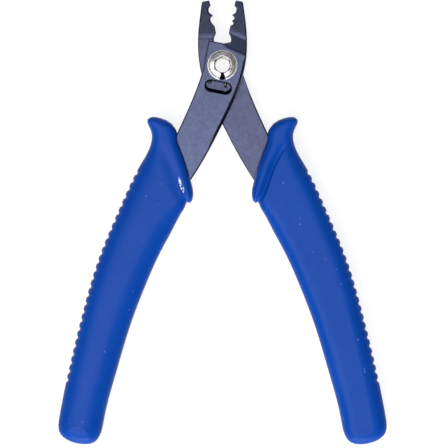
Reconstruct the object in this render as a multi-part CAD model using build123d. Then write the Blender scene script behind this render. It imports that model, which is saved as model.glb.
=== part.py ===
"""Bead-crimping pliers, 133 mm long when closed: a lap-jointed, spring-opened hand tool.

Millimetres. The tool lies flat: +Z is the pivot axis, the jaws point to +Y, and the
origin is on the pivot axis, in the plane where the two steel halves slide on each other.

Both steel halves and both grips are drawn in the "closed pose" (cutting edge on x = 0,
jaw on the +X side, handle on the -X side, lap plate above z = 0). The front half is
turned back to the rest pose, where the spring holds the tool open. The rear half is the
same blank turned over about Y, with its own forming notches, and opened the other way.
"""
from build123d import *
import os
from math import cos, sin, degrees, radians

# Opening: each half is turned this far from the closed pose while the spring holds the tool open
half_opening = 11.0

# Lap joint and plates
plate_t = 3.0             # thickness of each lap plate and tang
shoulder_y = 6.15         # top edge of a lap plate, above the pivot
plate_left = -5.2         # outer side of a lap plate
rim_fillet = 0.35         # rounded rim of the outside faces
shoulder_corner_r = 0.6   # outer corner of the shoulder, in plan
relief_corner_r = 0.4     # inner corner, where the shoulder meets the jaw
through = 20.0            # longer than any hole or window that is cut right through
past_tool = 140.0         # further from the pivot than any end of the tool

# Jaws
jaw_gap = 0.05            # each jaw face stands this far back from the closing line
jaw_root_t = 1.5          # half thickness of the jaws where they leave the joint
jaw_tip_t = 0.95          # half thickness of the jaws at the tip
tip_y = 18.98
outer_ramp = (5.46, 9.05, 10.2)     # distances along the outer ramp: start, foot, start of the taper
outer_ramp_tilt = 12.0              # the outer ramp runs across the half at this angle
mating_ramp = (7.3, 7.65, 8.86)     # the same for the steep shoulder on the mating side
mating_ramp_tilt = -11.0
outer_blends = (2.6, 0.6, 2.6)      # radii that soften the outer side's bends
mating_blends = (0.12, 0.2, 2.6)
relief_x = 1.05                     # the jaw stands back this far beside the shoulder
tang_end_bulge = 1.6                # the tang's rounded end

# Pivot
shank_r = 3.2
bore_clearance = 0.04     # running clearance, on the radius, of the rear half on the shank
thread_r = 2.75
hole_r = 2.1              # hole right through the screw
head_r = 3.75
head_h = 1.45
head_side_h = 0.9         # straight side of the head, below its dome
head_dome = (3.3, 1.22)   # radius and height of a point half-way up the dome
socket_af = 4.5           # hexagon socket across flats
socket_depth = 1.2
washer_r = 4.3
washer_t = 0.3
washer_round = 0.1        # rounded outer edge of the washer
notch_root = (0.45, 2.4)  # half width and radius where the locking notch leaves the socket
notch_rim = (1.05, 4.6)   # the same outside the washer's rim
nut_r = 4.3
nut_t = 1.5
nut_gap = 0.04            # axial play between the nut and the rear half
nut_chamfer = 0.35
nut_slot = 1.2            # width of the spanner slot across the nut; it is half as deep

# Spring window in the front half
slot_y = -6.4
slot_length = 7.56
slot_width = 3.3
slot_chamfer = 0.2

# Return spring, a wire loop round the shank in a pocket of the rear half
wire_d = 0.8
loop_r = 4.25
pocket_depth = 1.05
pocket_r = 5.0
pocket_reach = 6.7        # outer radius of the pocket's fan below the pivot
front_leg_angle = -37.5   # rest angles of the two legs, from straight down
rear_leg_angle = 8.0
leg_r = 6.05              # radius at which both legs end
leg_bend_angle = 2.0      # angle over which each leg leaves the loop
leg_top = 1.8             # height to which the front leg stands up in the window
leg_bottom = -2.6         # depth to which the rear leg goes down in its hole
wire_play = 0.01          # the wire is this much slimmer, on the radius, than its hole

# Grips
grip_half_t = 5.5
grip_fillet = 1.5
groove_start = 9.6        # distance of the first groove from the neck of the horn
groove_count = 26
groove_pitch = 2.5
groove_r = 0.75
groove_depth = 0.45

PARTS = "parts"


def polar(radius, angle_from_down):
    """Point at a radius from the pivot, at an angle measured from straight down towards +X."""
    a = radians(angle_from_down)
    return (radius * sin(a), -radius * cos(a))


def degrees_of(length, radius):
    """Angle that a length spans at a radius."""
    return degrees(length / radius)


# ---------------------------------------------------------------- steel halves

def front_station():
    """Crimping station of the front half: two small hollows with a punch tooth between them."""
    ThreePointArc((jaw_gap, 11.55), (0.72, 12.28), (0.27, 12.92))
    Line((0.27, 12.92), (0.27, 13.13))
    ThreePointArc((0.27, 13.13), (0.76, 13.8), (jaw_gap, 14.4))
    return 11.55


def rear_station():
    """Crimping station of the rear half: one deep hollow that flares towards the joint."""
    Spline((jaw_gap, 11.3), (0.55, 12.2), (0.9, 13.45), (jaw_gap, 14.4))
    return 11.3


def half_plan(station):
    """Plan of one half in the closed pose, from the jaw tip to the end of the tang."""
    with BuildSketch() as plan:
        with BuildLine():
            Line((plate_left, shoulder_y), (relief_x, shoulder_y))
            Line((relief_x, shoulder_y), (relief_x, 7.0))
            ThreePointArc((relief_x, 7.0), (0.78, 8.35), (jaw_gap, 9.3))
            flat_end = station()
            Line((jaw_gap, 9.3), (jaw_gap, flat_end))
            Line((jaw_gap, 14.4), (jaw_gap, 14.75))
            ThreePointArc((jaw_gap, 14.75), (0.88, 16.2), (jaw_gap, 17.4))
            Line((jaw_gap, 17.4), (0.18, 18.65))
            ThreePointArc((0.18, 18.65), (0.26, 18.86), (0.45, 18.92))
            Line((0.45, 18.92), (1.75, tip_y))
            ThreePointArc((1.75, tip_y), (2.25, 18.82), (2.5, 18.4))
            Spline((2.5, 18.4), (4.25, 13.1), (5.6, 8.0), (6.35, 2.4), (6.3, -2.0), (4.2, -12.7),
                   (1.6, -22.1), (-2.3, -33.2), (-7.6, -45.0), (-12.3, -60.0), (-15.7, -80.0),
                   (-17.6, -97.0))
            ThreePointArc((-17.6, -97.0), (-20.0, -98.0 - tang_end_bulge), (-22.3, -96.6))
            Spline((-22.3, -96.6), (-22.0, -80.0), (-20.2, -60.0), (-16.9, -45.0), (-12.2, -33.0),
                   (-8.75, -20.6), (-6.15, -9.0), (plate_left, -2.5))
            Line((plate_left, -2.5), (plate_left, shoulder_y))
        make_face()
        corner = plan.vertices().sort_by_distance((plate_left, shoulder_y))[0]
        fillet(corner, shoulder_corner_r)
        inner = plan.vertices().sort_by_distance((relief_x, shoulder_y))[0]
        fillet(inner, relief_corner_r)
    return plan.sketch


def ramp_cutter(points, blends, tilt, upward):
    """Everything beyond a surface whose side view is a line of (distance, height) points."""
    far_z = through if upward else -through
    a = radians(tilt)
    side = Plane(origin=(0, 0, 0), x_dir=(sin(a), cos(a), 0), z_dir=(cos(a), -sin(a), 0))
    with BuildSketch(side) as cut:
        with BuildLine():
            top = FilletPolyline(*points, radius=blends)
            Polyline(top @ 1, (points[-1][0], far_z), (points[0][0], far_z), top @ 0)
        make_face()
    return extrude(cut.sketch, amount=past_tool, both=True)


def steel_half(station):
    """One jaw, lap plate and tang, before its bores are cut."""
    plan = half_plan(station)
    body = (extrude(plan, amount=plate_t) + extrude(plan, amount=-plate_t)).solid()
    rim = body.faces().sort_by(Axis.Z)[-1].edges()
    body = fillet(rim.filter_by(lambda edge: edge.center().Y < shoulder_y + 0.5), rim_fillet)
    ramp_top, ramp_foot, taper = outer_ramp
    slope = (jaw_root_t - jaw_tip_t) / (tip_y - taper)
    outer = [(-past_tool, plate_t), (ramp_top, plate_t), (ramp_foot, jaw_root_t), (taper, jaw_root_t),
             (tip_y + 1, jaw_root_t - slope * (tip_y + 1 - taper))]
    body -= ramp_cutter(outer, outer_blends, outer_ramp_tilt, True)
    ramp_top, ramp_foot, taper = mating_ramp
    slope = (jaw_root_t - jaw_tip_t) / (tip_y - taper)
    mating = [(-past_tool, 0), (ramp_top, 0), (ramp_foot, -jaw_root_t), (taper, -jaw_root_t),
              (tip_y + 1, -jaw_root_t + slope * (tip_y + 1 - taper))]
    body -= ramp_cutter(mating, mating_blends, mating_ramp_tilt, False)
    return body.solid()


def front_rest(shape):
    """Turn a closed-pose shape of the front half to the rest pose."""
    return Rot(0, 0, -half_opening) * shape


def rear_rest(shape):
    """Turn a closed-pose blank over and open it as the rear half."""
    return Rot(0, 0, half_opening) * (Rot(0, 180, 0) * shape)


def front_half():
    half = steel_half(front_station)
    half -= Cylinder(shank_r, through)
    slot = SlotOverall(slot_length, slot_width)
    half -= Pos(0, slot_y, 0) * extrude(slot, amount=through, both=True)
    wide = SlotOverall(slot_length + 2 * slot_chamfer, slot_width + 2 * slot_chamfer)
    half -= Pos(0, slot_y, plate_t) * extrude(wide, amount=-slot_chamfer, taper=45)
    return front_rest(half.solid())


def spring_pocket():
    """Pocket for the wire loop: a ring round the bore and a fan that lets the legs swing."""
    play = degrees_of(0.75 * wire_d, leg_r)
    first = front_leg_angle - play
    last = rear_leg_angle + play
    ring = Circle(pocket_r)
    with BuildSketch() as fan:
        with BuildLine():
            Line((0, 0), polar(pocket_reach, first))
            ThreePointArc(polar(pocket_reach, first), polar(pocket_reach, (first + last) / 2),
                          polar(pocket_reach, last))
            Line(polar(pocket_reach, last), (0, 0))
        make_face()
    return Pos(0, 0, -pocket_depth) * extrude(ring + fan.sketch, amount=pocket_depth + 1)


def rear_half():
    half = rear_rest(steel_half(rear_station))
    half -= Cylinder(shank_r + bore_clearance, through)
    half -= spring_pocket()
    x, y = polar(leg_r, rear_leg_angle)
    half -= Pos(x, y, 0) * Cylinder(wire_d / 2, through)
    return half.solid()


# ---------------------------------------------------------------- pivot

def locking_notch():
    """Wedge below the pivot's centre that splits the washer and notches the screw head."""
    (root_w, root_r), (rim_w, rim_r) = notch_root, notch_rim
    wedge = Polygon((-root_w, -root_r), (-rim_w, -rim_r), (rim_w, -rim_r), (root_w, -root_r), align=None)
    return Pos(0, 0, plate_t) * extrude(wedge, amount=through)


def head_washer():
    disc = Cylinder(washer_r, washer_t)
    disc = fillet(disc.edges().group_by(Axis.Z)[-1], washer_round)
    ring = Pos(0, 0, plate_t + washer_t / 2) * (disc - Cylinder(shank_r, washer_t))
    return (ring - locking_notch()).solid()


def pivot_screw():
    """Hollow shouldered screw: domed head with a hexagon socket, shank, threaded end."""
    head_bottom = plate_t + washer_t
    shoulder = -plate_t - nut_gap
    end = shoulder - nut_t
    with BuildSketch(Plane.XZ) as section:
        with BuildLine():
            Polyline((hole_r, end), (thread_r, end), (thread_r, shoulder), (shank_r, shoulder),
                     (shank_r, head_bottom), (head_r, head_bottom), (head_r, head_bottom + head_side_h))
            ThreePointArc((head_r, head_bottom + head_side_h), (head_dome[0], head_bottom + head_dome[1]),
                          (hole_r, head_bottom + head_h))
            Line((hole_r, head_bottom + head_h), (hole_r, end))
        make_face()
    screw = revolve(section.sketch, Axis.Z, 360)
    socket = RegularPolygon(socket_af / 2, 6, major_radius=False, rotation=30)
    socket_floor = head_bottom + head_h - socket_depth
    screw -= Pos(0, 0, socket_floor) * extrude(socket, amount=through)
    screw -= Pos(0, 0, washer_t) * locking_notch()
    return screw.solid()


def pivot_nut():
    """Low round nut with two spanner slots, screwed on behind the rear half."""
    top = -plate_t - nut_gap
    nut = Cylinder(nut_r, nut_t)
    nut = chamfer(nut.edges().sort_by(Axis.Z)[0], nut_chamfer)
    nut -= Cylinder(thread_r, nut_t)
    nut = Pos(0, 0, top - nut_t / 2) * nut
    nut -= Pos(0, 0, top - nut_t) * Box(3 * nut_r, nut_slot, nut_slot)
    return nut.solid()


# ---------------------------------------------------------------- return spring

def return_spring():
    """Wire loop round the shank. One leg turns up into the window, the other down into its hole."""
    mid_z = -pocket_depth / 2
    front_end = polar(leg_r, front_leg_angle)
    rear_end = polar(leg_r, rear_leg_angle)
    loop_start = (*polar(loop_r, front_leg_angle - leg_bend_angle), mid_z)
    loop_end = (*polar(loop_r, rear_leg_angle + leg_bend_angle), mid_z)
    with BuildLine() as path:
        Polyline((*front_end, leg_top), (*front_end, mid_z), loop_start)
        ThreePointArc(loop_start, (0, loop_r, mid_z), loop_end)
        Polyline(loop_end, (*rear_end, mid_z), (*rear_end, leg_bottom))
    wire = path.wires()[0]
    section = Plane(origin=wire @ 0, z_dir=wire % 0) * Circle(wire_d / 2 - wire_play)
    return sweep(section, path=wire, transition=Transition.ROUND).solid()


# ---------------------------------------------------------------- grips

def grip_outline():
    """Plan of a grip in the closed pose: outer side, rounded end, inner side, lip and horn."""
    return Spline(
        (-16.1, -25.8), (-17.7, -32.7), (-21.1, -45.6), (-24.1, -60.1), (-25.7, -76.0),
        (-26.5, -93.0), (-26.6, -106.5), (-25.3, -111.6), (-20.0, -113.8), (-15.4, -111.8),
        (-13.95, -105.5), (-13.2, -92.9), (-11.8, -78.7), (-9.5, -64.3), (-5.5, -49.5),
        (-2.2, -42.0), (-0.95, -38.6), (-2.4, -33.0), (-7.0, -25.3), (-9.2, -20.6),
        (-13.3, -18.0), (-17.4, -18.8), (-17.6, -21.4), periodic=True)


def grip():
    """One grip in the closed pose: rounded blank, finger grooves down its outer side, tang pocket."""
    outline = grip_outline()
    blank = extrude(make_face(outline), amount=grip_half_t, both=True)
    faces = blank.faces().sort_by(Axis.Z)
    blank = fillet(faces[0].edges() + faces[-1].edges(), grip_fillet)
    for i in range(groove_count):
        along = (groove_start + i * groove_pitch) / outline.length
        inward = (outline % along).rotate(Axis.Z, 90)
        centre = outline @ along - inward * (groove_r - groove_depth)
        blank -= Pos(centre.X, centre.Y, 0) * Cylinder(groove_r, through)
    return (blank - steel_half(front_station)).solid()


# ---------------------------------------------------------------- files

def main():
    os.makedirs(PARTS, exist_ok=True)
    handle = grip()
    nodes = {
        "front_half": front_half(),
        "rear_half": rear_half(),
        "pivot_screw": pivot_screw(),
        "pivot_nut": pivot_nut(),
        "head_washer": head_washer(),
        "return_spring": return_spring(),
        "front_grip": front_rest(handle),
        "rear_grip": rear_rest(handle),
    }
    for name, solid in nodes.items():
        export_step(solid, os.path.join(PARTS, name + ".step"))
        print(name, round(solid.volume, 2))


main()
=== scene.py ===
"""Bead-crimping pliers: the visual model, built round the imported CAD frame.

Shapes are worked out in millimetres in the closed pose of one half: jaw edge on x = 0,
jaw on the +X side, handle on the -X side, outside face up. They are then turned to the
rest pose, as the CAD does, and made in metres. The rear half and its grip are worked out
in the same way and turned over about Y.
"""
import bpy
import bmesh
import numpy as np
from math import cos, hypot, pi, radians, sin, sqrt
from mathutils import Matrix, Vector


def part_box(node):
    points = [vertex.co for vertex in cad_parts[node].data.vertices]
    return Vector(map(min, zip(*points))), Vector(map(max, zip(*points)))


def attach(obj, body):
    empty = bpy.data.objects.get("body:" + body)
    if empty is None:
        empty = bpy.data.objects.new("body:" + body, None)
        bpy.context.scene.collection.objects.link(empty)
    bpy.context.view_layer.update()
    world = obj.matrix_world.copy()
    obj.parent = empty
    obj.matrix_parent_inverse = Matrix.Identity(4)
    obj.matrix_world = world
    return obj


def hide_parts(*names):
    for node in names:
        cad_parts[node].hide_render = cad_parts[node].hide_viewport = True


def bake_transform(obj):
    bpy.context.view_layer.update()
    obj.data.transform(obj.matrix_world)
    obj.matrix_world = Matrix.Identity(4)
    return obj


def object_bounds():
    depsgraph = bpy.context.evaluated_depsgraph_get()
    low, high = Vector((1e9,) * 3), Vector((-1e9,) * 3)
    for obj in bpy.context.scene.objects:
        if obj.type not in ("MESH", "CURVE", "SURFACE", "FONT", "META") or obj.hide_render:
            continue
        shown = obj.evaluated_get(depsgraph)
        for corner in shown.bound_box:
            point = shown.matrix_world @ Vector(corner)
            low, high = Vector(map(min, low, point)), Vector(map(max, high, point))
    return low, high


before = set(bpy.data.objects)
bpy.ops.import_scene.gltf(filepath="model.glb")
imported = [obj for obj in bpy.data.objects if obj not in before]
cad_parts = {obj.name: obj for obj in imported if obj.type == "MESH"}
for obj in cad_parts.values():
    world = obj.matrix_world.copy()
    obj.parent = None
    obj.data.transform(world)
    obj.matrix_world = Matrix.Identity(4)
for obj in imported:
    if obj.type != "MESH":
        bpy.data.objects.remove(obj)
cad_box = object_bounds()

MM = 0.001
HALF_OPENING = 11.0        # degrees that each half is turned from the closed pose


def box_mm(node):
    low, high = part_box(node)
    return [value / MM for value in low], [value / MM for value in high]


FRONT_REST = Matrix.Rotation(radians(-HALF_OPENING), 4, "Z")
REAR_REST = Matrix.Rotation(radians(HALF_OPENING), 4, "Z") @ Matrix.Rotation(pi, 4, "Y")


# -------- shader helpers

def new_material(name):
    material = bpy.data.materials.new(name)
    material.use_nodes = True
    tree = material.node_tree
    return material, tree, tree.nodes["Principled BSDF"]


def add_node(tree, kind, **settings):
    """New shader node. Settings that name an input set its value; others set a property."""
    node = tree.nodes.new("ShaderNode" + kind)
    for name, value in settings.items():
        if name in node.inputs:
            node.inputs[name].default_value = value
        else:
            setattr(node, name, value)
    return node


def place_in_object(tree):
    return add_node(tree, "TexCoord").outputs["Object"]


def attribute(tree, name):
    """A number that the mesh holds for each of its vertices."""
    return add_node(tree, "Attribute", attribute_name=name).outputs["Fac"]


def noise(tree, scale, detail=3.0, roughness=0.55, distortion=0.0):
    """Noise in object space, whose scale is in features per metre."""
    node = add_node(tree, "TexNoise", Scale=scale, Detail=detail, Roughness=roughness, Distortion=distortion)
    tree.links.new(place_in_object(tree), node.inputs["Vector"])
    return node.outputs["Fac"]


def ramp(tree, value, *stops):
    """Colour ramp over (position, grey or colour) stops."""
    node = add_node(tree, "ValToRGB")
    elements = node.color_ramp.elements
    while len(elements) < len(stops):
        elements.new(0.5)
    for element, (position, colour) in zip(elements, stops):
        element.position = position
        if isinstance(colour, float):
            colour = (colour, colour, colour)
        element.color = (*colour, 1.0)
    tree.links.new(value, node.inputs["Fac"])
    return node.outputs["Color"]


def mix(tree, fac, first, second, blend="MIX"):
    """Mix two colours, each a link or a fixed colour, by a link or a number."""
    node = add_node(tree, "Mix", data_type="RGBA", blend_type=blend)
    for socket, value in ((node.inputs[0], fac), (node.inputs[6], first), (node.inputs[7], second)):
        if isinstance(value, bpy.types.NodeSocket):
            tree.links.new(value, socket)
        elif isinstance(value, tuple):
            socket.default_value = (*value, 1.0)
        else:
            socket.default_value = value
    return node.outputs[2]


def multiply(tree, first, second):
    return mix(tree, 1.0, first, second, "MULTIPLY")


def bump(tree, height, strength, distance, normal=None):
    """Bumped normal. The distance is in metres."""
    node = add_node(tree, "Bump", Strength=strength, Distance=distance)
    tree.links.new(height, node.inputs["Height"])
    if normal is not None:
        tree.links.new(normal, node.inputs["Normal"])
    return node.outputs["Normal"]


# -------- materials

NOTCH_SHADE_PLACE = (0.0, -3.2 * MM, 3.2 * MM)      # middle of the screw's locking notch
NOTCH_SHADE_REACH = (1.3 * MM, 1.5 * MM, 0.9 * MM)  # half sizes of the spot of painted shade


def notch_painted_shade(tree):
    """Painted shade down in the screw's locking notch: a factor for the colour."""
    offset = add_node(tree, "VectorMath", operation="SUBTRACT")
    offset.inputs[1].default_value = NOTCH_SHADE_PLACE
    tree.links.new(place_in_object(tree), offset.inputs[0])
    scaled = add_node(tree, "VectorMath", operation="DIVIDE")
    scaled.inputs[1].default_value = NOTCH_SHADE_REACH
    tree.links.new(offset.outputs["Vector"], scaled.inputs[0])
    distance = add_node(tree, "VectorMath", operation="LENGTH")
    tree.links.new(scaled.outputs["Vector"], distance.inputs[0])
    shade_spread = add_node(tree, "Math", operation="MULTIPLY_ADD")
    shade_spread.inputs[1].default_value = 0.5
    tree.links.new(noise(tree, 2500, 2.0), shade_spread.inputs[0])
    tree.links.new(distance.outputs["Value"], shade_spread.inputs[2])
    return ramp(tree, shade_spread.outputs["Value"], (0.9, 0.015), (1.0, 0.03), (1.25, 1.0))


def blued_steel():
    """Black-oxide steel: dark blue-violet, cloudy, with a fine blasted grain and rubbed edges."""
    material, tree, shader = new_material("blued_steel")
    cloud = noise(tree, 220, 4.0, 0.6, 0.4)
    colour = ramp(tree, cloud, (0.3, (0.047, 0.055, 0.099)), (0.7, (0.057, 0.065, 0.114)))
    speck = noise(tree, 5200, 2.0, 0.5)
    tinted = multiply(tree, colour, ramp(tree, speck, (0.35, 0.86), (0.65, 1.0)))
    ground = ramp(tree, attribute(tree, "mating"), (0.0, 1.0), (1.0, (0.95, 0.88, 0.86)))
    tinted = multiply(tree, tinted, ground)
    rubbed = ramp(tree, attribute(tree, "edge"), (0.2, 0.0), (1.0, 0.5))
    patchy = multiply(tree, rubbed, ramp(tree, noise(tree, 900), (0.5, 0.0), (0.68, 1.0)))
    worn = mix(tree, patchy, tinted, (0.20, 0.21, 0.25))
    # painted shade in the screw's locking notch darkens the colour here
    tree.links.new(multiply(tree, worn, notch_painted_shade(tree)), shader.inputs["Base Color"])
    shader.inputs["Metallic"].default_value = 1.0
    rough = ramp(tree, noise(tree, 700, 4.0, 0.6), (0.3, 0.24), (0.7, 0.32))
    tree.links.new(rough, shader.inputs["Roughness"])
    grain = bump(tree, speck, 0.12, 0.00004)
    tree.links.new(bump(tree, noise(tree, 900), 0.06, 0.0002, grain), shader.inputs["Normal"])
    return material


def bright_steel():
    """Nickel-plated pivot parts, turned: fine rings round the axis and faint smudges."""
    material, tree, shader = new_material("bright_steel")
    rings = add_node(tree, "TexWave", wave_type="RINGS", rings_direction="Z",
                     Scale=4200.0, Distortion=3.0, Detail=2.0)
    tree.links.new(place_in_object(tree), rings.inputs["Vector"])
    smudge = noise(tree, 1400, 4.0, 0.6)
    colour = ramp(tree, smudge, (0.3, (0.37, 0.36, 0.36)), (0.7, (0.50, 0.49, 0.49)))
    # painted shade in the screw's locking notch darkens the colour here
    tree.links.new(multiply(tree, colour, notch_painted_shade(tree)), shader.inputs["Base Color"])
    shader.inputs["Metallic"].default_value = 1.0
    tree.links.new(ramp(tree, smudge, (0.3, 0.24), (0.75, 0.40)), shader.inputs["Roughness"])
    turned = bump(tree, rings.outputs["Fac"], 0.05, 0.00001)
    tree.links.new(turned, shader.inputs["Normal"])
    return material


def spring_wire():
    """Drawn music wire: dark grey, faintly mottled."""
    material, tree, shader = new_material("spring_wire")
    drawn = noise(tree, 3000, 3.0, 0.6)
    colour = ramp(tree, drawn, (0.35, (0.085, 0.085, 0.09)), (0.65, (0.14, 0.14, 0.145)))
    tree.links.new(colour, shader.inputs["Base Color"])
    shader.inputs["Metallic"].default_value = 1.0
    tree.links.new(ramp(tree, drawn, (0.3, 0.25), (0.7, 0.38)), shader.inputs["Roughness"])
    tree.links.new(bump(tree, drawn, 0.1, 0.00003), shader.inputs["Normal"])
    return material


def grip_plastic():
    """Moulded vinyl: saturated blue, faint satin orange-peel, a few handling marks, and a nick with a
    painted highlight over its lower half and painted shade in its deepest part.
    """
    material, tree, shader = new_material("grip_plastic")
    cloud = noise(tree, 60, 3.0, 0.5, 0.3)
    colour = ramp(tree, cloud, (0.3, (0.0010, 0.048, 0.308)), (0.7, (0.0013, 0.052, 0.330)))
    marks = ramp(tree, noise(tree, 1000, 1.0, 0.4), (0.785, 0.0), (0.81, 0.6))
    marked = mix(tree, marks, colour, (0.25, 0.36, 0.62))
    nick = attribute(tree, "nick")
    # painted highlight: a pale glint over the lower half of the nick, broken up by noise
    glint_breakup = ramp(tree, noise(tree, 1800, 2.0), (0.42, 0.0), (0.56, 1.0))
    nick_painted_glint = multiply(tree, ramp(tree, nick, (0.3, 0.0), (0.5, 1.0)), glint_breakup)
    nick_and_glint = mix(tree, nick_painted_glint, marked, (0.70, 0.77, 0.90))
    # painted shade: the deepest part of the nick darkened nearly to black
    nick_painted_shade = ramp(tree, nick, (0.72, 1.0), (0.84, 0.06))
    tree.links.new(multiply(tree, nick_and_glint, nick_painted_shade), shader.inputs["Base Color"])
    peel = noise(tree, 1500, 3.0, 0.5)
    scuff = noise(tree, 350, 5.0, 0.7, 0.8)
    tree.links.new(ramp(tree, scuff, (0.35, 0.34), (0.7, 0.44)), shader.inputs["Roughness"])
    shader.inputs["Specular IOR Level"].default_value = 0.11
    fine = bump(tree, peel, 0.10, 0.00006)
    tree.links.new(bump(tree, scuff, 0.05, 0.0002, fine), shader.inputs["Normal"])
    return material


MATERIALS = {
    "blued_steel": blued_steel(),
    "bright_steel": bright_steel(),
    "spring_wire": spring_wire(),
    "grip_plastic": grip_plastic(),
}


# -------- pieces and curves

def new_object(name, mesh, material):
    """Put a mesh in the scene with a material."""
    made = bpy.data.objects.new(name, mesh)
    bpy.context.scene.collection.objects.link(made)
    mesh.materials.append(material)
    return made


def add_piece(name, mesh, slot, body, *replaced):
    """Put a mesh in the scene as a piece that rides on a body and stands for CAD nodes."""
    piece = new_object(name, mesh, MATERIALS[slot])
    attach(piece, body)
    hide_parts(*replaced)


def finished_mesh(bm, name):
    """Mesh in metres, with its faces turned outwards, from a bmesh in millimetres."""
    bmesh.ops.recalc_face_normals(bm, faces=bm.faces)
    mesh = bpy.data.meshes.new(name)
    bm.to_mesh(mesh)
    bm.free()
    mesh.transform(Matrix.Scale(MM, 4))
    return mesh


def shade(mesh, sharp_angle):
    """Smooth shading, with edges sharper than an angle in degrees left sharp."""
    mesh.polygons.foreach_set("use_smooth", [True] * len(mesh.polygons))
    mesh.set_sharp_from_angle(angle=radians(sharp_angle))


def bridge(bm, lower, upper):
    """Join two loops of equally many points with faces."""
    count = len(lower)
    for i in range(count):
        j = (i + 1) % count
        bm.faces.new((lower[i], lower[j], upper[j], upper[i]))


def bridge_all(bm, rows):
    for first, second in zip(rows, rows[1:]):
        bridge(bm, first, second)


def closed_spline(knots, step=0.2):
    """Points along the smooth closed curve through some knots, and where each knot is in them.

    The slopes at the knots are the ones that leave no jump in its curvature.
    """
    knots = np.array(knots, dtype=float)
    count = len(knots)
    ahead = np.roll(knots, -1, axis=0)
    span = np.linalg.norm(ahead - knots, axis=1)
    matrix = np.zeros((count, count))
    right = np.zeros((count, 2))
    for i in range(count):
        before, after = span[i - 1], span[i]
        matrix[i, i - 1] = 1 / before
        matrix[i, i] = 2 / before + 2 / after
        matrix[i, (i + 1) % count] = 1 / after
        right[i] = 3 * ((knots[i] - knots[i - 1]) / before ** 2 + (ahead[i] - knots[i]) / after ** 2)
    slope = np.linalg.solve(matrix, right)
    points, starts = [], []
    for i in range(count):
        starts.append(len(points))
        first, last = slope[i] * span[i], slope[(i + 1) % count] * span[i]
        for t in np.linspace(0.0, 1.0, max(3, int(span[i] / step)), endpoint=False):
            points.append(knots[i] * (2 * t ** 3 - 3 * t ** 2 + 1) + first * (t ** 3 - 2 * t ** 2 + t)
                          + ahead[i] * (3 * t ** 2 - 2 * t ** 3) + last * (t ** 3 - t ** 2))
    return np.array(points), starts


def smoothstep(low, high, value):
    """From 0 at low to 1 at high, level at both. Low may be above high."""
    t = np.clip((value - low) / (high - low), 0.0, 1.0)
    return t * t * (3 - 2 * t)


# -------- steel halves

PLATE_T = box_mm("front_half")[1][2]   # thickness of each lap plate
JAW_ROOT_T = 1.5
JAW_TIP_T = 0.95
JAW_TIP_Y = 19.0
OUTER_TILT = 12.0                      # the outer ramp runs across the half at this angle
OUTER_BENDS = (5.46, 9.05, 10.2)       # start and foot of the outer ramp, start of the taper
OUTER_BLENDS = (0.75, 0.16, 0.5)       # half widths over which those bends are softened
MATING_TILT = -11.0
MATING_BENDS = (7.48, 7.6, 8.86)       # the same for the steep shoulder on the mating side
MATING_BLENDS = (0.04, 0.05, 0.45)
SHOULDER = (-1.6, 1.3)                 # the outer ramp dies out between these x
SHOULDER_STEP = 0.29                   # distance between the cuts that let it do so

# edge radii, and the parts of the outline that they belong to
NOTCH_FROM_Y, NOTCH_TO_X = 8.6, 1.4    # the working edge with its notches
NOTCH_RADIUS = 0.5
TIP_FROM_Y = 18.2
TIP_RADIUS = 0.35
OUTSIDE_RADIUS = 0.4
BROAD_RADIUS = (0.45, 0.95)            # down the jaw side of the half, and where that is broadest
JAW_SIDE_X = (1.5, -3.0)               # the jaw side is right of these, above and below
JAW_SIDE_TURN_Y = -5.0                 # this height
BROAD_TOP, BROAD_FOOT = (4.2, 1.2), (-26.0, -19.0)  # its edge broadens between these heights
LAP_RADIUS = 0.2                       # on the mating face, where the halves slide on each other
FREE_RADIUS = 0.42                     # on the mating face, clear of the other half
FREE_FROM_X, FREE_TO_Y = 1.0, -9.0     # it is clear right of the one and below the other
BORE_RADIUS = 0.05
WALL_SHAPE = (2.0, 0.6)                # steepness and power of the holes' rounded edges
WINDOW_RIM = 0.2                       # the window's edge takes up this much outside its walls
WINDOW_RADIUS = (0.3, 1.15)            # on its upper and lower wall
WINDOW_LOW_SIDE = (0.25, -0.97)        # direction of the lower wall

SAME_POINT = 1e-6                      # CAD points this near to each other, in metres, are one
LEAST_SPAN = 0.05
FRONT_LEVEL = 0.7                      # height that cuts plate and jaw of the front half alike
LEG_HOLE_LEVEL = -2.0                  # height below the rear half's pocket
POCKET_DEPTH = 1.05
FLAT = 10.0                            # height of both sides, until they are bent
EDGE_ROWS = 5                          # rows of faces round each rounded edge
JAW_STEP, PLATE_STEP = 0.4, 2.2        # longest spans of the outline above and below JAW_FROM_Y
JAW_FROM_Y = 5.0
BLEND_CUTS = (-1.0, -0.6, -0.2, 0.2, 0.6, 1.0)      # cuts across a bend, in half widths of it
SAME_FACE = 0.72                       # cosine of the largest turn that is shaded smoothly
STRAIGHT_TURN, SHARP_TURN = 1.5, 20.0  # an outline's corner is a bend between these, and sharp above
CREST_RADIUS = 0.03                    # edge radius right at a sharp corner
BEND_SHARE = 0.65                      # edge radius on a bend, as a share of the bend's own
RADIUS_GROWTH = 0.4                    # how fast the edge radius grows away from both


def slice_mesh(bm, place, normal, nearness=1e-5):
    """Divide a mesh where a plane meets it. Points this near the plane count as on it."""
    whole = bm.verts[:] + bm.edges[:] + bm.faces[:]
    return bmesh.ops.bisect_plane(bm, geom=whole, dist=nearness, plane_co=place, plane_no=normal)


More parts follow.
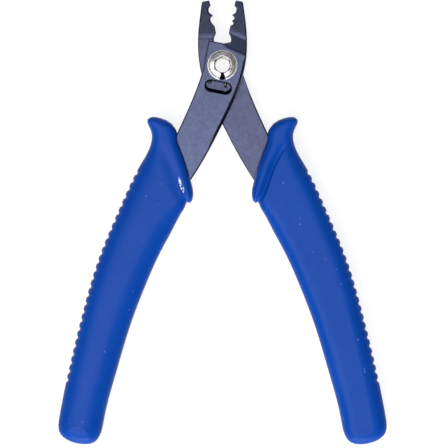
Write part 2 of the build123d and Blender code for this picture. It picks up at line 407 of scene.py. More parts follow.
def level_loops(node, height, turn_back):
    """Outlines where a CAD node is cut level at a height in mm, longest first, in the closed pose."""
    cut = bmesh.new()
    cut.from_mesh(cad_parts[node].data)
    bmesh.ops.remove_doubles(cut, verts=cut.verts, dist=SAME_POINT)
    found = slice_mesh(cut, (0, 0, height * MM), (0, 0, 1), 0.0)
    edges = {item for item in found["geom_cut"] if isinstance(item, bmesh.types.BMEdge)}
    loops = []
    while edges:
        edge = edges.pop()
        first, last = edge.verts
        chain = [first, last]
        while chain[-1] != first:
            edge = next(item for item in chain[-1].link_edges if item in edges)
            edges.discard(edge)
            chain.append(edge.other_vert(chain[-1]))
        points = [turn_back @ (vert.co / MM) for vert in chain[:-1]]
        loops.append(tidy_loop([(point.x, point.y) for point in points]))
    cut.free()
    return sorted(loops, key=loop_length, reverse=True)


def spans(loop):
    return zip(loop, loop[1:] + loop[:1])


def loop_length(loop):
    return sum(hypot(b[0] - a[0], b[1] - a[1]) for a, b in spans(loop))


def tidy_loop(loop):
    """Anticlockwise, starting at the highest point, without spans under LEAST_SPAN."""
    area = sum(a[0] * b[1] - b[0] * a[1] for a, b in spans(loop))
    if area < 0:
        loop = loop[::-1]
    start = max(range(len(loop)), key=lambda i: (loop[i][1], loop[i][0]))
    loop = loop[start:] + loop[:start]
    kept = [loop[0]]
    for point in loop[1:]:
        if hypot(point[0] - kept[-1][0], point[1] - kept[-1][1]) > LEAST_SPAN:
            kept.append(point)
    return kept


def divide(loop, step):
    """Add points so that no span is longer than step(x, y)."""
    points = []
    for a, b in spans(loop):
        length = hypot(b[0] - a[0], b[1] - a[1])
        parts = max(1, int(np.ceil(length / step(*a))))
        for i in range(parts):
            t = i / parts
            points.append((a[0] + (b[0] - a[0]) * t, a[1] + (b[1] - a[1]) * t))
    return points


def inward(loop):
    """Direction that moves each point of a loop inwards, so that its spans move by 1."""
    points = np.array(loop)
    ahead = np.roll(points, -1, axis=0) - points
    ahead /= np.linalg.norm(ahead, axis=1)[:, None]
    normal = np.stack((-ahead[:, 1], ahead[:, 0]), axis=1)
    behind = np.roll(normal, 1, axis=0)
    total = normal + behind
    return total / (1 + np.sum(normal * behind, axis=1))[:, None]


def radius_limit(loop):
    """Largest edge radius at each point of a loop: small at sharp corners and on tight bends."""
    points = np.array(loop)
    ahead = np.roll(points, -1, axis=0) - points
    length = np.linalg.norm(ahead, axis=1)
    heading = np.arctan2(ahead[:, 1], ahead[:, 0])
    turn = (heading - np.roll(heading, 1) + pi) % (2 * pi) - pi
    reach = 0.5 * (length + np.roll(length, 1))
    own = np.full(len(loop), np.inf)
    bent = turn > radians(STRAIGHT_TURN)
    own[bent] = BEND_SHARE * reach[bent] / turn[bent]
    own[turn > radians(SHARP_TURN)] = CREST_RADIUS
    along = np.concatenate(([0.0], np.cumsum(length)))
    gap = np.abs(along[:-1, None] - along[None, :-1])
    gap = np.minimum(gap, along[-1] - gap)
    return np.min(own[None, :] + RADIUS_GROWTH * gap, axis=1)


def edge_radius(x, y, elsewhere):
    """Radius of an outline's edge at a point: the jaw's own, or else elsewhere(x, y)."""
    if y > NOTCH_FROM_Y and x < NOTCH_TO_X:
        return NOTCH_RADIUS
    if y > TIP_FROM_Y:
        return TIP_RADIUS
    return elsewhere(x, y)


def outside_radius(x, y):
    """Off the jaw, on the outside face: widest down the jaw-side edge of the plate."""
    above, below = JAW_SIDE_X
    if x > above or (y < JAW_SIDE_TURN_Y and x > below):
        least, most = BROAD_RADIUS
        broad = smoothstep(*BROAD_TOP, y) * smoothstep(*BROAD_FOOT, y)
        return least + (most - least) * float(broad)
    return OUTSIDE_RADIUS


def mating_radius(x, y):
    """Off the jaw, on the mating face: small where the halves slide on each other."""
    return FREE_RADIUS if x > FREE_FROM_X or y < FREE_TO_Y else LAP_RADIUS


def ramp_share(x):
    """The outer ramp belongs to the jaw and dies out across the shoulder beside it."""
    return float(smoothstep(*SHOULDER, x))


def bent_height(distance, bends):
    """Height of a line that starts level at 0 and changes slope by steps, each one softened."""
    height = 0.0
    for place, blend, step in bends:
        ahead = distance - place
        if ahead >= blend:
            height += step * ahead
        elif ahead > -blend:
            height += step * (ahead + blend) ** 2 / (4 * blend)
    return height


def bent_slope(distance, bends):
    """Slope of the line that bent_height gives."""
    slope = 0.0
    for place, blend, step in bends:
        slope += step * min(max((distance - place + blend) / (2 * blend), 0.0), 1.0)
    return slope


def side_bends(places, blends, level, root, tip):
    """Bends of one side: down a ramp from a level to the jaw's root, then a taper to its tip."""
    ramp_slope = (root - level) / (places[1] - places[0])
    taper_slope = (tip - root) / (JAW_TIP_Y - places[2])
    return list(zip(places, blends, (ramp_slope, -ramp_slope, taper_slope)))


OUTER = side_bends(OUTER_BENDS, OUTER_BLENDS, PLATE_T, JAW_ROOT_T, JAW_TIP_T)
MATING = side_bends(MATING_BENDS, MATING_BLENDS, 0.0, -JAW_ROOT_T, -JAW_TIP_T)


def direction(tilt):
    """Level direction along the half, turned by some degrees from +Y towards +X."""
    return Vector((sin(radians(tilt)), cos(radians(tilt)), 0.0))


OUTER_LINE, MATING_LINE = direction(OUTER_TILT), direction(MATING_TILT)


def add_loop(bm, points, height):
    return [bm.verts.new((x, y, height)) for x, y in points]


def loop_edges(bm, loop):
    """Edges of a loop of points, made where there are none."""
    found = []
    for a, b in spans(loop):
        found.append(bm.edges.get((a, b)) or bm.edges.new((a, b)))
    return found


def rounded_rows(bm, loop, radius, height, upward, edge, steep=1.0, power=1.0, across=None):
    """Loops that round an edge over, from the wall to the face.

    Radius is one value per point, negative round a hole. Across gives the directions that lead
    into the loop, worked out from it if there are none. The edge layer marks what gets rubbed.
    The rounding is steep times as deep as it is wide. A power below 1 leaves it a crisp rim.
    """
    points = np.array(loop)
    if across is None:
        across = inward(loop)
    made = []
    for row in range(EDGE_ROWS + 1):
        angle = 0.5 * pi * row / EDGE_ROWS
        moved = points + across * (radius * (1 - cos(angle)))[:, None]
        depth = steep * np.abs(radius) * (1 - sin(angle)) ** power
        verts = [bm.verts.new((x, y, height - d if upward else height + d))
                 for (x, y), d in zip(moved, depth)]
        for vert in verts:
            vert[edge] = sin(2 * angle)
        made.append(verts)
    return made


def set_normals(mesh, face_normals):
    """Shade flat faces by their own slope and the rounded edges beside them smoothly.

    face_normals gives, for each vertex of a flat face, the normal that the face has there.
    """
    touching = [[] for _ in mesh.vertices]
    for polygon in mesh.polygons:
        for index in polygon.vertices:
            touching[index].append(polygon)
    flat = [item.value for item in mesh.attributes["flat"].data]
    normals = []
    for polygon in mesh.polygons:
        for index in polygon.vertices:
            near = [other for other in touching[index] if other.normal.dot(polygon.normal) > SAME_FACE]
            level = [other for other in near if flat[other.index]]
            if level:
                normals.append(face_normals(mesh.vertices[index].co, level[0].normal))
            else:
                total = Vector((0.0, 0.0, 0.0))
                for other in near:
                    total += other.normal * other.area
                normals.append(total.normalized())
    mesh.polygons.foreach_set("use_smooth", [True] * len(mesh.polygons))
    mesh.normals_split_custom_set(normals)


def shell_and_holes(bm, outline, holes, pocket):
    """One half's walls and rounded edges, and the edges between which its flat faces go.

    Gives (edges, way that the face looks) for each flat face.
    """
    edge = bm.verts.layers.float.new("edge")
    fine = divide(outline, lambda x, y: JAW_STEP if y > JAW_FROM_Y else PLATE_STEP)
    limit = radius_limit(fine)
    top_radius = np.minimum([edge_radius(x, y, outside_radius) for x, y in fine], limit)
    low_radius = np.minimum([edge_radius(x, y, mating_radius) for x, y in fine], limit)
    top = rounded_rows(bm, fine, top_radius, FLAT, True, edge)
    low = rounded_rows(bm, fine, low_radius, -FLAT, False, edge)
    bridge_all(bm, top)
    bridge_all(bm, low[::-1])
    bridge(bm, low[0], top[0])
    top_edges = loop_edges(bm, top[-1])
    low_edges = loop_edges(bm, low[-1])
    flats = [(top_edges, 1), (low_edges, -1)]
    floor_edges = low_edges
    hole_bottom = -FLAT
    if pocket:
        hole_bottom += POCKET_DEPTH
        rim = add_loop(bm, pocket, -FLAT)
        floor = add_loop(bm, pocket, hole_bottom)
        bridge(bm, rim, floor)
        low_edges += loop_edges(bm, rim)
        floor_edges = loop_edges(bm, floor)
        flats.append((floor_edges, -1))
    for loop, radii, across in holes:
        rows = rounded_rows(bm, loop, -radii, FLAT, True, edge, *WALL_SHAPE, across)
        bottom = add_loop(bm, loop, hole_bottom)
        bridge_all(bm, rows[::-1] + [bottom])
        top_edges += loop_edges(bm, rows[-1])
        floor_edges += loop_edges(bm, bottom)
    return flats


def fill_flats(bm, flats):
    """Fill the flat faces with triangles, and mark them."""
    marked = bm.faces.layers.int.new("flat")
    for edges, facing in flats:
        made = bmesh.ops.triangle_fill(bm, use_beauty=True, edges=edges, normal=(0, 0, facing))
        for item in made["geom"]:
            if isinstance(item, bmesh.types.BMFace):
                item[marked] = 1


def bend_sides(bm):
    """Cut the flat faces where they are to bend, and give both sides their true heights."""
    mating = bm.verts.layers.float.new("mating")
    for x in np.arange(SHOULDER[0], SHOULDER[1] + 0.1, SHOULDER_STEP):
        slice_mesh(bm, (x, 0, 0), (1, 0, 0))
    for line, bends in ((OUTER_LINE, OUTER), (MATING_LINE, MATING)):
        for place, blend, _ in bends:
            for part in BLEND_CUTS:
                slice_mesh(bm, line * (place + part * blend), line)
    for vert in bm.verts:
        if vert.co.z > 0:
            dip = bent_height(vert.co.dot(OUTER_LINE), OUTER)
            vert.co.z += PLATE_T + dip * ramp_share(vert.co.x) - FLAT
        else:
            vert.co.z += bent_height(vert.co.dot(MATING_LINE), MATING) + FLAT
            vert[mating] = 1.0


def face_normal(place, facing):
    """Normal that the bent face has at a place in metres, on the side that facing looks to."""
    point = place / MM
    if facing.z > 0:
        slope = OUTER_LINE * bent_slope(point.dot(OUTER_LINE), OUTER) * ramp_share(point.x)
        return Vector((-slope.x, -slope.y, 1.0)).normalized()
    slope = MATING_LINE * bent_slope(point.dot(MATING_LINE), MATING)
    return Vector((slope.x, slope.y, -1.0)).normalized()


def steel_mesh(name, outline, holes, pocket=None):
    """Mesh of one half, made with two flat sides that are bent to ramp and jaw last.

    Holes are (loop, edge radii, inward directions or None). A pocket is a loop in the mating face,
    round the holes.
    """
    bm = bmesh.new()
    fill_flats(bm, shell_and_holes(bm, outline, holes, pocket))
    bend_sides(bm)
    mesh = finished_mesh(bm, name)
    set_normals(mesh, face_normal)
    return mesh


def bore_edge(loop):
    """A plain hole with a slight edge."""
    return loop, np.full(len(loop), BORE_RADIUS), None


def window_edge(loop):
    """The window as a hole: its rim stays put, its lower wall is rounded most."""
    low, high = np.min(loop, axis=0), np.max(loop, axis=0)
    centre = 0.5 * (low + high)
    radius = 0.5 * (high[1] - low[1])
    reach = 0.5 * (high[0] - low[0]) - radius
    half_turn = np.linspace(-0.5 * pi, 0.5 * pi, 21)
    straight = np.linspace(reach, -reach, 17)[1:-1]
    points, away = [], []
    for side in (1, -1):
        for angle in half_turn:
            away.append((side * cos(angle), side * sin(angle)))
            points.append((side * (reach + radius * cos(angle)), side * radius * sin(angle)))
        for x in straight:
            away.append((0.0, side))
            points.append((side * x, side * radius))
    away = np.array(away)
    upper, lower = WINDOW_RADIUS
    radii = upper + (lower - upper) * smoothstep(-0.35, 0.8, away @ np.array(WINDOW_LOW_SIDE))
    moved = centre + np.array(points) - away * (radii - WINDOW_RIM)[:, None]
    return [tuple(point) for point in moved], radii, -away


def front_steel():
    outline, bore, window = level_loops("front_half", FRONT_LEVEL, FRONT_REST.inverted())
    mesh = steel_mesh("front_half_steel", outline, [bore_edge(bore), window_edge(window)])
    mesh.transform(FRONT_REST)
    add_piece("front_half_steel", mesh, "blued_steel", "front_half", "front_half")


def rear_steel():
    outline, pocket = level_loops("rear_half", -FRONT_LEVEL, REAR_REST.inverted())
    _, bore, leg_hole = level_loops("rear_half", LEG_HOLE_LEVEL, REAR_REST.inverted())
    mesh = steel_mesh("rear_half_steel", outline, [bore_edge(bore), bore_edge(leg_hole)], pocket)
    mesh.transform(REAR_REST)
    add_piece("rear_half_steel", mesh, "blued_steel", "rear_half", "rear_half")


front_steel()
rear_steel()


# -------- grips

GRIP_TOP = box_mm("front_grip")[1][2] - 0.02       # height of both faces, just inside the CAD grip
GRIP_OUTLINE = (
    # outer side, from the neck below the horn to the rounded end
    (-15.75, -25.7), (-17.7, -32.7), (-21.1, -45.6), (-24.1, -60.1), (-25.7, -76.0),
    (-26.5, -93.0), (-26.6, -106.5), (-25.55, -111.8), (-20.0, -113.8), (-15.2, -112.35),
    # inner side, up to the notch under the lip
    (-13.95, -105.5), (-13.2, -92.9), (-11.8, -78.7), (-9.55, -65.5), (-7.15, -55.4),
    (-5.05, -48.6), (-3.55, -43.7), (-2.75, -41.1), (-2.35, -40.15),
    # lip and opening edge
    (-1.9, -40.35), (-1.4, -39.95), (-1.13, -38.9), (-1.25, -37.4), (-2.3, -34.65),
    (-5.1, -29.1), (-7.7, -24.9), (-8.55, -23.3), (-8.95, -21.7), (-9.7, -20.3),
    # horn
    (-12.2, -18.6), (-15.2, -18.15), (-17.3, -18.5), (-18.0, -19.4), (-17.2, -21.2), (-16.0, -23.3))
NECK, END_OUTER, END_INNER, LIP, HORN = 0, 7, 9, 21, 32      # corners, as places in the outline
# place in the outline; width and depth of the rounding on the panelled face and on the crowned face
GRIP_ROUNDING = (
    (0, 3.0, 3.0, 3.6, 3.2), (1, 4.4, 3.4, 6.6, 4.4), (6, 4.4, 3.4, 7.2, 4.5), (8, 3.4, 3.2, 4.6, 3.7),
    (10, 3.8, 3.3, 7.0, 4.4), (15, 3.7, 3.3, 6.8, 4.3), (17, 2.2, 2.7, 3.0, 3.0),
    (21, 1.6, 2.4, 2.2, 2.7), (24, 2.0, 2.6, 2.6, 2.8), (28, 2.2, 2.8, 2.6, 2.9),
    (32, 1.8, 2.8, 2.2, 2.8), (34, 2.6, 2.9, 3.0, 3.1), (35, 3.0, 3.0, 3.6, 3.2))
CROWN_POWER = 2.3              # roundness of the crowned face: 2 is an ellipse
# valley behind the collar: place and depth, from the notch under the lip towards the horn
CREASE = ((-2.5, -40.3, 0.45), (-4.7, -38.0, 0.95), (-9.0, -30.7, 0.85), (-12.1, -26.9, 0.6),
          (-14.2, -24.6, 0.0))
COLLAR_WIDTH = 1.8             # width of the valley's slope up the collar
PANEL_WIDTH = 0.7              # and up the other side, on the panelled face
CROWN_WIDTH = 3.0              # the same on the crowned face
CROWN_SHARE = 0.3              # depth of the valley there, as a share of the full depth
GROOVE_START = 9.6             # from the neck to the first finger groove
GROOVE_COUNT = 26
GROOVE_PITCH = 2.5
GROOVE_HALF_WIDTH = 0.72
GROOVE_DEPTH = 0.45
GROOVE_FADE = 2.2              # the grooves die out this far in from the side
SIDE_LEVELS = (0.2, 0.42, 0.48, 0.54, 0.8)     # rows of points down the side
SEAM_LEVEL = 0.48              # parting line of the mould, round the side
SEAM_DEPTH = 0.05
NICK = ((-7.3, -31.8), (-4.3, -37.1))          # ends of the nick in the collar's crowned face
NICK_DEPTH = 0.3
NICK_HALF_WIDTH = 0.85
GRIP_RIBS = 385                # rows of points from the opening to the rounded end
GRIP_WIDTH = 14.5
SIDE_ROWS, MIDDLE_ROWS = 9, 27                 # rows of points over each rounded side and between
SIDE_REACH = (4.2, 4.6)        # width of the rounded sides that have the closer rows
OPENING_SHARE, END_SHARE = 0.30, 0.09          # how far the shapes of both ends reach into the grid


class Outline:
    """A closed smooth curve that can be asked for a point at a distance along it."""

    def __init__(self, knots):
        self.points, starts = closed_spline(knots)
        ahead = np.roll(self.points, -1, axis=0) - self.points
        self.along = np.concatenate(([0.0], np.cumsum(np.linalg.norm(ahead, axis=1))))
        self.length = self.along[-1]
        self.knots = np.append(self.along[starts], self.length)
        self.closed = np.vstack((self.points, self.points[:1]))

    def at(self, distance):
        distance = np.asarray(distance) % self.length
        return np.stack((np.interp(distance, self.along, self.closed[:, 0]),
                         np.interp(distance, self.along, self.closed[:, 1])), axis=-1)

    def nearest(self, places):
        """Distance of each place from the curve, and where on the curve that is."""
        gaps, where = [], []
        start, end = self.closed[:-1], self.closed[1:]
        span = end - start
        length = np.sum(span * span, axis=1)
        for x, y in places:
            offset = np.stack((x - start[:, 0], y - start[:, 1]), axis=1)
            part = np.clip(np.sum(offset * span, axis=1) / length, 0.0, 1.0)
            left = offset - span * part[:, None]
            gap = np.sum(left * left, axis=1)
            i = int(np.argmin(gap))
            gaps.append(sqrt(gap[i]))
            where.append(self.along[i] + part[i] * sqrt(length[i]))
        return np.array(gaps), np.array(where)


def side_spacing():
    """Fractions across a grip, closer together where its sides are rounded."""
    first, last = SIDE_REACH
    closing = 1 - np.cos(np.linspace(0, 0.5 * pi, SIDE_ROWS))
    middle = np.linspace(first, GRIP_WIDTH - last, MIDDLE_ROWS)[1:-1]
    return np.concatenate((first * closing, middle, GRIP_WIDTH - last * closing[::-1])) / GRIP_WIDTH


def grip_grid(curve):
    """Points over the plan of a grip: one row per rib, from the opening to the rounded end."""
    across = side_spacing()
    down = np.linspace(0.0, 1.0, GRIP_RIBS)
    horn, lip = curve.knots[HORN] - curve.length, curve.knots[LIP]
    outer = curve.at(horn + (curve.knots[END_OUTER] - horn) * down)
    inner = curve.at(lip + (curve.knots[END_INNER] - lip) * down)
    opening = curve.at(lip + (horn + curve.length - lip) * across)
    end = curve.at(curve.knots[END_INNER] + (curve.knots[END_OUTER] - curve.knots[END_INNER]) * across)
    rib = across[None, :, None]
    straight = (1 - rib) * inner[:, None] + rib * outer[:, None]
    opening_bulge = opening - ((1 - rib[0]) * inner[0] + rib[0] * outer[0])
    end_bulge = end - ((1 - rib[0]) * inner[-1] + rib[0] * outer[-1])
    near_opening = np.clip(1 - down / OPENING_SHARE, 0, 1) ** 2
    near_end = np.clip(1 - (1 - down) / END_SHARE, 0, 1) ** 2
    return (straight + near_opening[:, None, None] * opening_bulge[None]
            + near_end[:, None, None] * end_bulge[None])


def crease_depth(places, other_width):
    """Depth of the valley behind the collar, whose slope away from the collar has other_width."""
    crease = np.array(CREASE)
    start, end = crease[:-1, :2], crease[1:, :2]
    span = end - start
    best = np.full(len(places), np.inf)
    depth = np.zeros(len(places))
    side = np.zeros(len(places))
    for i in range(len(span)):
        offset = places - start[i]
        part = np.clip(offset @ span[i] / (span[i] @ span[i]), 0.0, 1.0)
        left = offset - part[:, None] * span[i]
        gap = np.linalg.norm(left, axis=1)
        closer = gap < best
        best = np.where(closer, gap, best)
        depth = np.where(closer, crease[i, 2] + part * (crease[i + 1, 2] - crease[i, 2]), depth)
        turn = span[i][0] * offset[:, 1] - span[i][1] * offset[:, 0]
        side = np.where(closer, turn, side)
    width = np.where(side < 0, COLLAR_WIDTH, other_width)
    return depth * (1 - smoothstep(0.0, width, best))


def nick_share(places):
    """How deep the nick is at each place, from 0 to 1: deepest at its lower end."""
    start, end = np.array(NICK)
    span = end - start
    offset = places - start
    part = np.clip(offset @ span / (span @ span), 0.0, 1.0)
    gap = np.linalg.norm(offset - part[:, None] * span, axis=1)
    return part * (1 - smoothstep(0.0, NICK_HALF_WIDTH, gap))


def groove(curve, where):
    """Depth of the finger grooves at distances along the outline."""
    first = curve.knots[NECK] + GROOVE_START
    place = (where - first) / GROOVE_PITCH
    nearest = np.clip(np.round(place), 0, GROOVE_COUNT - 1)
    off = np.abs(place - nearest) * GROOVE_PITCH / GROOVE_HALF_WIDTH
    return GROOVE_DEPTH * np.clip(1 - off ** 2, 0, 1)


def face_heights(curve, places, gap, where):
    """Heights of the crowned and of the panelled face over places in the plan."""
    rounding = np.array(GRIP_ROUNDING)
    knots = curve.knots[rounding[:, 0].astype(int)]
    width, depth, soft_width, soft_depth = (np.interp(where, knots, rounding[:, k]) for k in (1, 2, 3, 4))
    into = np.clip(1 - gap / width, 0.0, 1.0)
    panelled = GRIP_TOP - depth * (1 - np.sqrt(1 - into ** 2)) - crease_depth(places, PANEL_WIDTH)
    into = np.clip(1 - gap / soft_width, 0.0, 1.0)
    crowned = GRIP_TOP - soft_depth * (1 - (1 - into ** CROWN_POWER) ** (1 / CROWN_POWER))
    crowned -= CROWN_SHARE * crease_depth(places, CROWN_WIDTH) + NICK_DEPTH * nick_share(places)
    return crowned, panelled


def grooved(curve, places, gap, where):
    """Places moved in where the finger grooves are, and the way into the grip at each."""
    heading = np.gradient(curve.closed, axis=0)
    normal = np.stack((-heading[:, 1], heading[:, 0]), axis=1)
    normal /= np.linalg.norm(normal, axis=1)[:, None]
    inner_way = np.stack([np.interp(where, curve.along, normal[:, k]) for k in (0, 1)], axis=1)
    cut = groove(curve, where) * np.clip(1 - gap / GROOVE_FADE, 0, 1) ** 2
    return places + inner_way * cut[:, None], inner_way


def border(ribs, columns):
    """Places round the edge of a grid, as (rib, column)."""
    return ([(0, j) for j in range(columns)] + [(i, columns - 1) for i in range(1, ribs)]
            + [(ribs - 1, j) for j in range(columns - 2, -1, -1)] + [(i, 0) for i in range(ribs - 2, 0, -1)])


def grip_mesh(name):
    """Mesh of one grip, in the closed pose: both faces as height fields, joined by the side."""
    curve = Outline(GRIP_OUTLINE)
    grid = grip_grid(curve)
    ribs, columns = grid.shape[:2]
    places = grid.reshape(-1, 2)
    gap, where = curve.nearest(places)
    crowned, panelled = face_heights(curve, places, gap, where)
    moved, inner_way = grooved(curve, places, gap, where)
    # share of the nick's depth, which also places its painted highlight and painted shade
    nick_and_glint = nick_share(places)

    bm = bmesh.new()
    nick = bm.verts.layers.float.new("nick")
    faces = []
    for height in (crowned, -panelled):
        faces.append([[bm.verts.new((*moved[i * columns + j], height[i * columns + j]))
                       for j in range(columns)] for i in range(ribs)])
    for i in range(ribs):
        for j in range(columns):
            faces[0][i][j][nick] = nick_and_glint[i * columns + j]
    for face in faces:
        for i in range(ribs - 1):
            for j in range(columns - 1):
                bm.faces.new((face[i][j], face[i + 1][j], face[i + 1][j + 1], face[i][j + 1]))
    edge = border(ribs, columns)
    rows = [[faces[0][i][j] for i, j in edge]]
    for level in SIDE_LEVELS:
        row = []
        for i, j in edge:
            k = i * columns + j
            inset = SEAM_DEPTH if level == SEAM_LEVEL else 0.0
            x, y = moved[k] + inner_way[k] * inset
            row.append(bm.verts.new((x, y, crowned[k] - (panelled[k] + crowned[k]) * level)))
        rows.append(row)
    rows.append([faces[1][i][j] for i, j in edge])
    bridge_all(bm, rows)
    return finished_mesh(bm, name)


def grips():
    front = grip_mesh("front_grip_cover")
    rear = front.copy()
    rear.name = "rear_grip_cover"
    front.transform(FRONT_REST)
    rear.transform(REAR_REST)
    for mesh in (front, rear):
        shade(mesh, 42)
    add_piece("front_grip_cover", front, "grip_plastic", "front_half", "front_grip")
    add_piece("rear_grip_cover", rear, "grip_plastic", "rear_half", "rear_grip")


grips()


# -------- pivot

WASHER_R = box_mm("head_washer")[1][0]
SEAT = box_mm("head_washer")[1][2]     # top of the washer, which lies on the front plate
DISH_R, DISH_DEPTH = 3.82, 0.14        # sunk middle of the washer
DISH_SLOPE = 0.2
WASHER_EDGE = 0.1
HEAD_R = 3.75
HEAD_TOP = box_mm("pivot_screw")[1][2]
HEAD_EDGE = 0.3
DOME_R = 17.0
SCREW_END = box_mm("pivot_screw")[0][2]
SHANK_R = 3.2
SHANK_END = -PLATE_T - 0.04
THREAD_R = 2.75
THREAD_EDGE = 0.15
HOLE_R = 2.1
HOLE_EDGE = 0.1
SOCKET_R = 2.25                        # half the width of the hexagon socket, across flats
SOCKET_LIP = 0.12
# radius, and how much of the hexagon there still is in the head at that radius
HEAD_RINGS = ((2.55, 0.85), (2.75, 0.35), (2.95, 0.0), (3.15, 0.0), (3.35, 0.0))
FLOOR_R, FLOOR_RISE = 2.62, 0.26       # the socket's floor slopes up from the hole
NOTCH = ((0.45, 2.4), (1.05, 4.6))     # half width and radius at the root and at the rim
TURNS = 120


def hexagon_radius(angle):
    """Radius of the socket at an angle. Its corners point to +Y and -Y."""
    return SOCKET_R / cos((angle + pi / 6) % (pi / 3) - pi / 6)


def notch_angle(radius):
    """Half the angle that the notch takes up at a radius."""
    (root_w, root_r), (rim_w, rim_r) = NOTCH
    half = root_w + (radius - root_r) * (rim_w - root_w) / (rim_r - root_r)
    return np.arcsin(half / radius)


def ring(radius, height, share=0.0):
    """Point of a section: its share of hexagon is 1 on the socket and 0 where the part is round."""
    return radius, height, share


def turned_ring(bm, section, notched):
    """Turn a closed section of rings about the pivot axis, with a gap at the notch if notched."""
    columns = []
    for step in range(TURNS + 1 if notched else TURNS):
        column = []
        for radius, height, share in section:
            r = radius
            for _ in range(3):           # the gap depends on the radius, and that on the angle
                gap = notch_angle(r) if notched else 0.0
                angle = -pi / 2 + gap + (2 * pi - 2 * gap) * step / TURNS
                r = radius + share * (hexagon_radius(angle) - SOCKET_R)
            column.append(bm.verts.new((r * cos(angle), r * sin(angle), height)))
        columns.append(column)
    if notched:
        bridge_all(bm, columns)
        bm.faces.new(columns[0])
        bm.faces.new(columns[-1][::-1])
    else:
        bridge_all(bm, columns + columns[:1])


def arc(radius_place, height_place, radius, start, end, count):
    """Rings on an arc of the section, between two angles in degrees."""
    angles = np.radians(np.linspace(start, end, count))
    return [ring(radius_place + radius * cos(a), height_place + radius * sin(a)) for a in angles]


def dome(radius):
    return HEAD_TOP - (radius ** 2 - SOCKET_R ** 2) / (2 * DOME_R)


def turned_piece(name, slot, replaced, *rings):
    bm = bmesh.new()
    for section, notched in rings:
        turned_ring(bm, section, notched)
    mesh = finished_mesh(bm, name)
    shade(mesh, 25)
    add_piece(name, mesh, slot, "front_half", replaced)


def pivot_screw():
    head = [ring(SOCKET_R, SEAT, 1.0), ring(SOCKET_R, HEAD_TOP - SOCKET_LIP, 1.0),
            ring(SOCKET_R + 0.5 * SOCKET_LIP, HEAD_TOP - 0.35 * SOCKET_LIP, 1.0),
            ring(SOCKET_R + 1.2 * SOCKET_LIP, dome(SOCKET_R + SOCKET_LIP) - 0.01, 1.0)]
    head += [ring(radius, dome(radius), share) for radius, share in HEAD_RINGS]
    head += arc(HEAD_R - HEAD_EDGE, dome(HEAD_R - HEAD_EDGE) - HEAD_EDGE, HEAD_EDGE, 80, 0, 5)
    head += [ring(HEAD_R, SEAT + 0.05), ring(HEAD_R - 0.1, SEAT)]
    shank = [ring(HOLE_R, SCREW_END + HOLE_EDGE), ring(HOLE_R, SEAT), ring(FLOOR_R, SEAT + FLOOR_RISE),
             ring(FLOOR_R, SEAT), ring(SHANK_R, SEAT), ring(SHANK_R, SHANK_END), ring(THREAD_R, SHANK_END),
             ring(THREAD_R, SCREW_END + THREAD_EDGE), ring(THREAD_R - THREAD_EDGE, SCREW_END),
             ring(HOLE_R + HOLE_EDGE, SCREW_END)]
    turned_piece("pivot_screw_turned", "bright_steel", "pivot_screw", (head, True), (shank, False))


def head_washer():
    washer = [ring(SHANK_R, PLATE_T), ring(SHANK_R, SEAT - DISH_DEPTH), ring(DISH_R, SEAT - DISH_DEPTH),
              ring(DISH_R + DISH_SLOPE, SEAT)]
    washer += arc(WASHER_R - WASHER_EDGE, SEAT - WASHER_EDGE, WASHER_EDGE, 90, 0, 4)
    washer += [ring(WASHER_R, PLATE_T)]
    turned_piece("head_washer_dished", "bright_steel", "head_washer", (washer, True))


pivot_screw()
head_washer()
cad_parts["pivot_nut"].material_slots[0].material = MATERIALS["bright_steel"]


# -------- return spring

WIRE_R = 0.39
WIRE_TIP = ((0.0, 0.3), (0.05, 0.72), (0.16, 1.0))     # distance from the end, share of the wire's radius
LOOP_R = 4.25
LOOP_Z = -0.525
LEG_R = 6.05
FRONT_LEG, REAR_LEG = -37.5, 8.0       # angles of the legs in the rest pose, from straight down
LEG_TOP, LEG_BOTTOM = 1.8, -2.6
LEG_BEND = 2.0                         # the loop ends this many degrees before each leg
CORNER_R = 0.5


def polar(radius, angle, height):
    return Vector((radius * sin(radians(angle)), -radius * cos(radians(angle)), height))


def round_corners(points, radius):
    """Replace each inner corner of a line by a short bend."""
    path = [points[0]]
    for before, corner, after in zip(points, points[1:], points[2:]):
        back, ahead = before - corner, after - corner
        reach = min(radius, 0.45 * back.length, 0.45 * ahead.length)
        start, end = corner + back.normalized() * reach, corner + ahead.normalized() * reach
        for t in np.linspace(0.0, 1.0, 7):
            path.append(start.lerp(corner, t).lerp(corner.lerp(end, t), t))
    path.append(points[-1])
    return path


def spring_path():
    """Middle of the wire: down the front leg, round the loop and down the rear leg."""
    loop = [polar(LOOP_R, angle, LOOP_Z)
            for angle in np.linspace(FRONT_LEG - LEG_BEND, REAR_LEG + LEG_BEND - 360, 97)]
    front = [polar(LEG_R, FRONT_LEG, LEG_TOP), polar(LEG_R, FRONT_LEG, LOOP_Z)]
    rear = [polar(LEG_R, REAR_LEG, LOOP_Z), polar(LEG_R, REAR_LEG, LEG_BOTTOM)]
    return (round_corners(front + loop[:2], CORNER_R)[:-1] + loop[1:-1]
            + round_corners(loop[-2:] + rear, CORNER_R)[1:])


def wire_mesh(name, path):
    """Round wire along a path, with rounded ends."""
    bm = bmesh.new()
    rings = []
    across = Vector((1.0, 0.0, 0.0))
    last = len(path) - 1
    for i, point in enumerate(path):
        along = (path[min(i + 1, last)] - path[max(i - 1, 0)]).normalized()
        across = (across - along * across.dot(along)).normalized()
        up = along.cross(across)
        rims = [(0.0, 1.0)]
        if i == 0:
            rims = WIRE_TIP
        if i == last:
            rims = [(-shift, share) for shift, share in WIRE_TIP[::-1]]
        for shift, share in rims:
            centre = point + along * shift
            rings.append([bm.verts.new(centre + (across * cos(a) + up * sin(a)) * (share * WIRE_R))
                          for a in np.linspace(0, 2 * pi, 16, endpoint=False)])
    bridge_all(bm, rings)
    bm.faces.new(rings[0][::-1])
    bm.faces.new(rings[-1])
    return finished_mesh(bm, name)


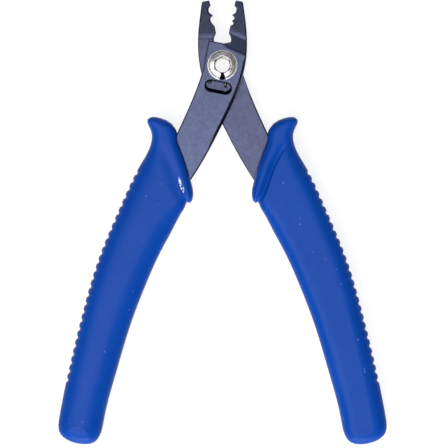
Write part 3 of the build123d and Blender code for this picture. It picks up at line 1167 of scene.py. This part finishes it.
def return_spring():
    mesh = wire_mesh("return_spring_wire", spring_path())
    shade(mesh, 50)
    spring = new_object("return_spring_wire", mesh, MATERIALS["spring_wire"])
    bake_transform(spring)
    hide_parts("return_spring")


return_spring()


# -------- stage, light and camera

FLOOR_GAP = 0.2 * MM
FLOOR_REACH = 3.0
FRAME_WIDTH = 128.0 * MM               # width of the picture at the tool
CAMERA_PLACE = (0.43 * MM, -45.29 * MM, 0.9)


def area_light(name, place, aim, size, power):
    data = bpy.data.lights.new(name, "AREA")
    data.shape = "RECTANGLE"
    data.size, data.size_y = size
    data.energy = power
    light = bpy.data.objects.new(name, data)
    light.location = place
    light.rotation_euler = (Vector(aim) - Vector(place)).to_track_quat("-Z", "Y").to_euler()
    bpy.context.scene.collection.objects.link(light)


def pale_floor():
    """White ground just under the tool, bright enough to look white in its own shadows."""
    low, reach = cad_box[0][2] - FLOOR_GAP, FLOOR_REACH
    corners = [(-reach, -reach, low), (reach, -reach, low), (reach, reach, low), (-reach, reach, low)]
    mesh = bpy.data.meshes.new("floor")
    mesh.from_pydata(corners, [], [(0, 1, 2, 3)])
    material, _, shader = new_material("pale_floor")
    shader.inputs["Base Color"].default_value = (0.25, 0.25, 0.25, 1.0)
    shader.inputs["Roughness"].default_value = 0.9
    shader.inputs["Specular IOR Level"].default_value = 0.1
    shader.inputs["Emission Color"].default_value = (1.0, 1.0, 1.0, 1.0)
    shader.inputs["Emission Strength"].default_value = 0.82
    stage = new_object("floor", mesh, material)


def studio():
    world = bpy.data.worlds.new("studio")
    world.use_nodes = True
    bpy.context.scene.world = world
    background = world.node_tree.nodes["Background"]
    background.inputs["Color"].default_value = (0.92, 0.95, 1.0, 1.0)
    background.inputs["Strength"].default_value = 0.13
    area_light("overhead", (-0.37, -0.50, 1.25), (-0.37, -0.50, 0.0), (1.25, 1.25), 22.0)
    area_light("front_low", (-0.1, -1.3, 0.36), (0.0, 0.0, 0.0), (1.2, 0.5), 15.0)
    area_light("back_fill", (0.1, 1.2, 1.15), (0.0, 0.0, 0.0), (1.3, 1.2), 4.0)
    bpy.context.scene.view_settings.view_transform = "Standard"


def camera():
    """Camera straight above the tool, looking down."""
    data = bpy.data.cameras.new("camera")
    data.sensor_width = 36.0
    data.lens = data.sensor_width * CAMERA_PLACE[2] / FRAME_WIDTH
    data.clip_end = 20.0
    view = bpy.data.objects.new("camera", data)
    view.location = CAMERA_PLACE
    bpy.context.scene.collection.objects.link(view)
    bpy.context.scene.camera = view


pale_floor()
studio()
camera()
